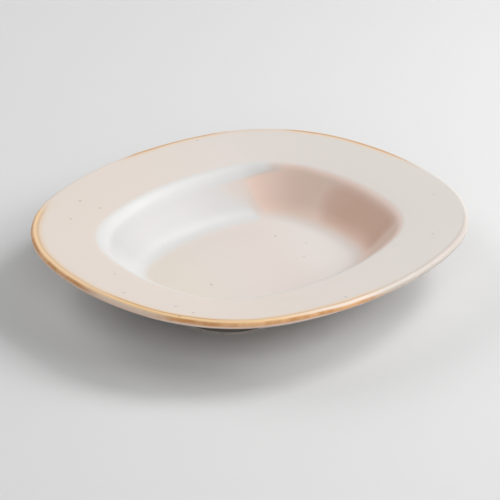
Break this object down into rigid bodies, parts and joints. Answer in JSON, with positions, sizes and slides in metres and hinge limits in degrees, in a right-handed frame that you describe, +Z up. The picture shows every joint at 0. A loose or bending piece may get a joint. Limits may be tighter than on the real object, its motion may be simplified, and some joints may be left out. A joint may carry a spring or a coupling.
{
  "type": "rimmed soup plate",
  "caption": "Rimmed soup plate in satin cream stoneware: a rounded rectangle with a wide sloping rim, a round-cornered well, a low foot ring and an iron-coloured lip.",
  "frame": {"origin": "on the table under the middle of the plate, in the plane of the foot ring's resting face", "axes": "+X along the length, +Y along the width, +Z up; the plate is the same on both sides of the X-Z and Y-Z planes"},
  "size_m": [0.25, 0.22, 0.0386],
  "materials": {
    "fired_clay": "matt fired stoneware under the glaze",
    "bare_clay": "matt bare stoneware where the plate rests",
    "cream_glaze": "satin cream glaze with a pink cast and sparse fine iron specks",
    "iron_edge": "satin caramel glaze, thin over the lip"
  },
  "bodies": {
    "root": {"plate_body": "fired_clay", "foot_ring": "bare_clay", "top_glaze": "cream_glaze", "underside_glaze": "cream_glaze", "recess_glaze": "cream_glaze", "edge_band": "iron_edge"}
  },
  "joints": []
}
